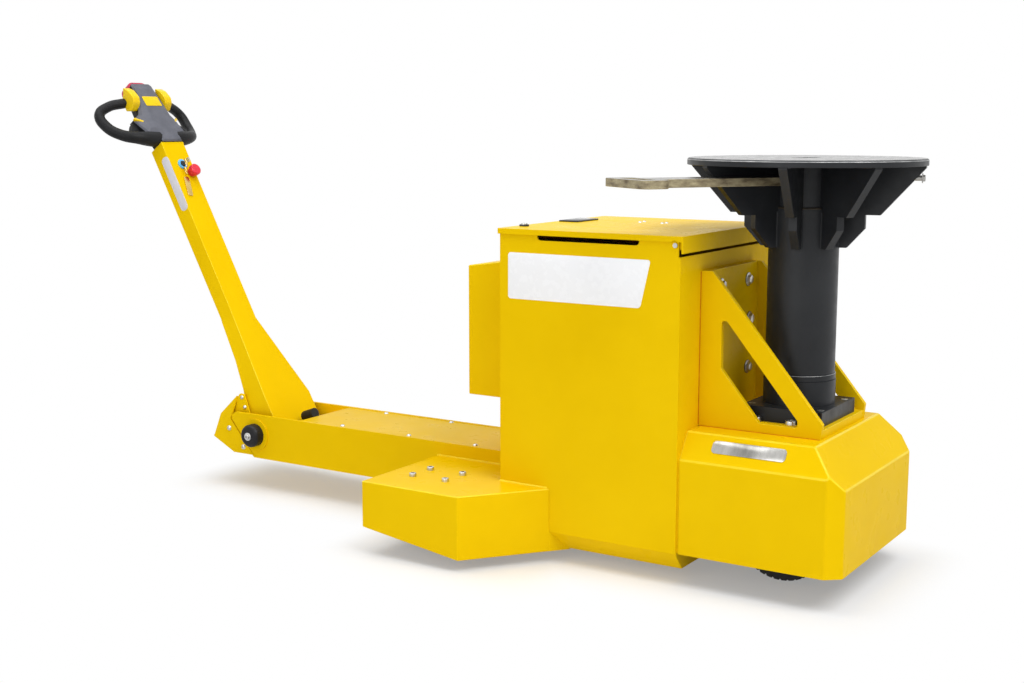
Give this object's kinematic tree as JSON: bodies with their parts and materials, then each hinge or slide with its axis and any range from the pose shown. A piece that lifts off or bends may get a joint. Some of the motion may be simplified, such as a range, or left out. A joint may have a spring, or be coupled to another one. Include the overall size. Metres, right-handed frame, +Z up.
{
  "type": "trailer mover",
  "caption": "Pedestrian electric trailer mover: battery cabinet on drive wheels and casters, sprung tiller on a rear boom, lifting and turning king-pin coupling.",
  "frame": {"origin": "on the floor, in the middle of the overall length and on the centre plane", "axes": "+X forward from the tiller to the coupling, +Y to the machine's left, +Z up"},
  "size_m": [2.6214, 0.944, 1.2482],
  "materials": {
    "yellow_paint": "satin powder coat",
    "charcoal_paint": "satin powder coat",
    "bare_steel": "flame-cut bare steel",
    "chromed_steel": "ground and chromed",
    "drive_castings": "painted casting",
    "frame_steel": "matt black",
    "black_rubber": "matt",
    "tyre_rubber": "matt",
    "zinc_steel": "zinc plated",
    "wheel_metal": "machined casting",
    "grey_plastic": "fine grain",
    "yellow_plastic": "smooth",
    "red_plastic": "gloss",
    "black_plastic": "smooth",
    "battery_case": "moulded"
  },
  "bodies": {
    "chassis": {"belly_pan": "yellow_paint", "cabinet_walls": "yellow_paint", "battery_pack": "battery_case", "lid_pins": "zinc_steel", "rear_box": "yellow_paint", "nose_cover": "yellow_paint", "drive_frame": "frame_steel", "transaxle": "drive_castings", "mast_bracket": "yellow_paint", "mast_base": "charcoal_paint", "boom_beam": "yellow_paint", "boom_cover": "yellow_paint", "boom_guard": "yellow_paint", "pivot_shaft": "zinc_steel", "pivot_knobs": "black_rubber", "caster_plates": "zinc_steel", "outrigger_left": "yellow_paint", "outrigger_right": "yellow_paint", "tiller_stop": "black_rubber"},
    "lid": {"lid_panel": "yellow_paint", "lid_display": "black_plastic", "lid_lock": "black_plastic"},
    "mast_swivel": {"mast_post": "chromed_steel"},
    "coupling": {"mast_wiper": "charcoal_paint", "mast_sleeve": "charcoal_paint", "head_ribs": "charcoal_paint", "kingpin_housing": "charcoal_paint", "coupling_plate": "charcoal_paint"},
    "lock": {"lock_bar": "bare_steel"},
    "tiller": {"tiller_arm": "yellow_paint", "tiller_head": "grey_plastic", "tiller_grips": "grey_plastic", "thumb_paddles": "yellow_plastic", "bump_button": "red_plastic", "emergency_stop": "red_plastic", "key_switch": "black_plastic"},
    "drive_wheel_left": {"drive_tyre_left": "tyre_rubber", "drive_hub_left": "wheel_metal"},
    "caster_left": {"caster_fork_left": "zinc_steel"},
    "caster_wheel_left": {"caster_tyre_left": "tyre_rubber", "caster_hub_left": "wheel_metal"},
    "drive_wheel_right": {"drive_tyre_right": "tyre_rubber", "drive_hub_right": "wheel_metal"},
    "caster_right": {"caster_fork_right": "zinc_steel"},
    "caster_wheel_right": {"caster_tyre_right": "tyre_rubber", "caster_hub_right": "wheel_metal"}
  },
  "joints": [
    {"name": "lid_hinge", "type": "hinge", "parent": "chassis", "child": "lid", "pos_m": [0.807, 0, 0.835], "axis": [0, 1, 0], "range_deg": [0, 12]},
    {"name": "coupling_swivel", "type": "hinge", "parent": "chassis", "child": "mast_swivel", "pos_m": [1.018, 0, 0.5], "axis": [0, 0, 1], "continuous": true},
    {"name": "mast_lift", "type": "slide", "parent": "mast_swivel", "child": "coupling", "axis": [0, 0, 1], "range_m": [0, 0.2]},
    {"name": "lock_slide", "type": "slide", "parent": "coupling", "child": "lock", "axis": [0.5693, 0.8221, 0], "range_m": [0, 0.045]},
    {"name": "tiller_hinge", "type": "hinge", "parent": "chassis", "child": "tiller", "pos_m": [-0.68, 0, 0.173], "axis": [0, -1, 0], "range_deg": [0, 45], "stiffness_Nm_per_rad": 60, "springref_deg": -91.67},
    {"name": "drive_spin_left", "type": "hinge", "parent": "chassis", "child": "drive_wheel_left", "pos_m": [1.018, 0.062, 0.125], "axis": [0, 1, 0], "continuous": true},
    {"name": "caster_swivel_left", "type": "hinge", "parent": "chassis", "child": "caster_left", "pos_m": [0.144, 0.32, 0.16], "axis": [0, 0, 1], "continuous": true},
    {"name": "caster_spin_left", "type": "hinge", "parent": "caster_left", "child": "caster_wheel_left", "pos_m": [0.098, 0.32, 0.075], "axis": [0, 1, 0], "continuous": true},
    {"name": "drive_spin_right", "type": "hinge", "parent": "chassis", "child": "drive_wheel_right", "pos_m": [1.018, -0.062, 0.125], "axis": [0, 1, 0], "continuous": true},
    {"name": "caster_swivel_right", "type": "hinge", "parent": "chassis", "child": "caster_right", "pos_m": [0.144, -0.32, 0.16], "axis": [0, 0, 1], "continuous": true},
    {"name": "caster_spin_right", "type": "hinge", "parent": "caster_right", "child": "caster_wheel_right", "pos_m": [0.098, -0.32, 0.075], "axis": [0, 1, 0], "continuous": true}
  ]
}
